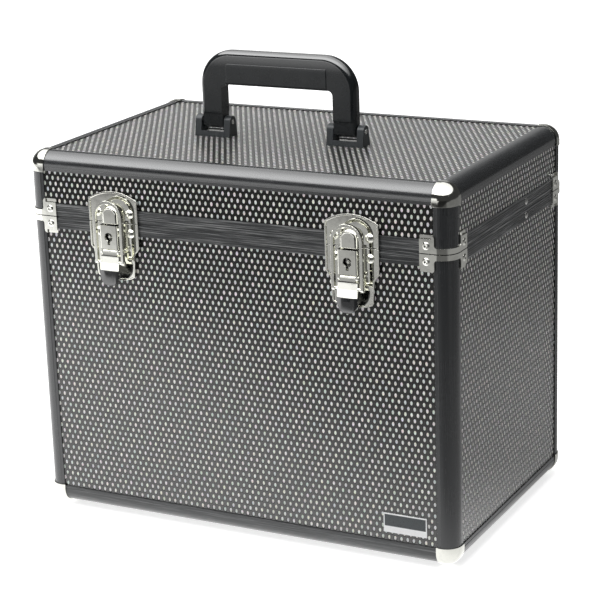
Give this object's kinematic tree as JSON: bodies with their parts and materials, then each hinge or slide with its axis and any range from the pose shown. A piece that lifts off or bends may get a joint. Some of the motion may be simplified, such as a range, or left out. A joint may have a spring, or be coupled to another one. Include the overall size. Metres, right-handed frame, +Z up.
{
  "type": "vanity case",
  "caption": "Boxy vanity case: dotted panels in black edge profiles, hinged lid with slotted stays, draw latches with locks, ball corners and a folding carrying handle.",
  "frame": {"origin": "on the floor, under the middle of the whole footprint, latches and hinges included", "axes": "+Z up, front with the latches facing -Y, +X to the right seen from the front"},
  "size_m": [0.3536, 0.2416, 0.3545],
  "materials": {
    "dotted_panel": "gloss black laminate with a printed dot pattern",
    "black_profile": "black anodised satin",
    "chrome": "polished plating",
    "steel": "bright zinc",
    "black_plastic": "satin",
    "rubber": "matt",
    "lining": "matt cloth"
  },
  "bodies": {
    "case": {"bottom_panel": "dotted_panel", "body_front_panel": "dotted_panel", "body_back_panel": "dotted_panel", "body_left_panel": "dotted_panel", "body_right_panel": "dotted_panel", "bottom_long_edges": "black_profile", "bottom_side_edges": "black_profile", "body_corner_posts": "black_profile", "body_long_rims": "black_profile", "body_side_rims": "black_profile", "bottom_corner_caps": "chrome", "body_braces": "chrome", "body_brace_rivets": "chrome", "body_lining": "lining", "feet": "rubber", "foot_screws": "steel", "body_hinge_leaves": "chrome", "hinge_pins": "steel", "body_hinge_rivets": "steel", "latch_base_plates": "chrome", "lock_cases": "chrome", "lever_pins": "steel", "body_latch_rivets": "chrome", "body_stay_pins": "steel"},
    "lid": {"top_panel": "dotted_panel", "lid_front_panel": "dotted_panel", "lid_back_panel": "dotted_panel", "lid_left_panel": "dotted_panel", "lid_right_panel": "dotted_panel", "top_long_edges": "black_profile", "top_side_edges": "black_profile", "lid_corner_posts": "black_profile", "lid_long_rims": "black_profile", "lid_side_rims": "black_profile", "top_corner_caps": "chrome", "lid_braces": "chrome", "lid_brace_rivets": "chrome", "lid_lining": "lining", "lid_hinge_leaves": "chrome", "lid_hinge_rivets": "steel", "catch_plates": "chrome", "lid_latch_rivets": "chrome", "lid_stay_pins": "steel", "handle_brackets": "black_plastic", "bracket_plates": "steel", "bracket_screws": "steel", "handle_pins": "steel"},
    "handle": {"handle_frame": "black_plastic", "grip_pad": "black_plastic"},
    "left_lever": {"left_lever": "chrome", "left_lever_tip": "black_plastic"},
    "left_bail": {"left_bail": "chrome"},
    "left_lock_bolt": {"left_lock_bolt": "steel"},
    "left_stay": {"left_stay": "steel"},
    "right_lever": {"right_lever": "chrome", "right_lever_tip": "black_plastic"},
    "right_bail": {"right_bail": "chrome"},
    "right_lock_bolt": {"right_lock_bolt": "steel"},
    "right_stay": {"right_stay": "steel"}
  },
  "joints": [
    {"name": "lid_hinge", "type": "hinge", "parent": "case", "child": "lid", "pos_m": [0, 0.11785, 0.239], "axis": [-1, 0, 0], "range_deg": [0, 95]},
    {"name": "handle_fold", "type": "hinge", "parent": "lid", "child": "handle", "pos_m": [-0.0095, -0.00515, 0.298], "axis": [1, 0, 0], "range_deg": [-90, 90]},
    {"name": "left_lever_swing", "type": "hinge", "parent": "case", "child": "left_lever", "pos_m": [-0.0988, -0.11545, 0.2181], "axis": [-1, 0, 0], "range_deg": [0, 90]},
    {"name": "left_bail_turn", "type": "hinge", "parent": "left_lever", "child": "left_bail", "pos_m": [-0.0988, -0.11625, 0.2101], "axis": [1, 0, 0], "range_deg": [0, 121.6]},
    {"name": "left_bolt_slide", "type": "slide", "parent": "case", "child": "left_lock_bolt", "axis": [0, 0, -1], "range_m": [0, 0.003]},
    {"name": "left_stay_turn", "type": "hinge", "parent": "lid", "child": "left_stay", "pos_m": [-0.16535, 0.03515, 0.2443], "axis": [-1, 0, 0], "range_deg": [-48, 0]},
    {"name": "right_lever_swing", "type": "hinge", "parent": "case", "child": "right_lever", "pos_m": [0.0988, -0.11545, 0.2181], "axis": [-1, 0, 0], "range_deg": [0, 90]},
    {"name": "right_bail_turn", "type": "hinge", "parent": "right_lever", "child": "right_bail", "pos_m": [0.0988, -0.11625, 0.2101], "axis": [1, 0, 0], "range_deg": [0, 121.6]},
    {"name": "right_bolt_slide", "type": "slide", "parent": "case", "child": "right_lock_bolt", "axis": [0, 0, -1], "range_m": [0, 0.003]},
    {"name": "right_stay_turn", "type": "hinge", "parent": "lid", "child": "right_stay", "pos_m": [0.16535, 0.03515, 0.2443], "axis": [-1, 0, 0], "range_deg": [-48, 0]}
  ],
  "couplings": [
    {"joint": "left_bail_turn", "follows": "left_lever_swing", "ratio": 1.35},
    {"joint": "left_stay_turn", "follows": "lid_hinge", "ratio": -0.5},
    {"joint": "right_bail_turn", "follows": "right_lever_swing", "ratio": 1.35},
    {"joint": "right_stay_turn", "follows": "lid_hinge", "ratio": -0.5}
  ]
}
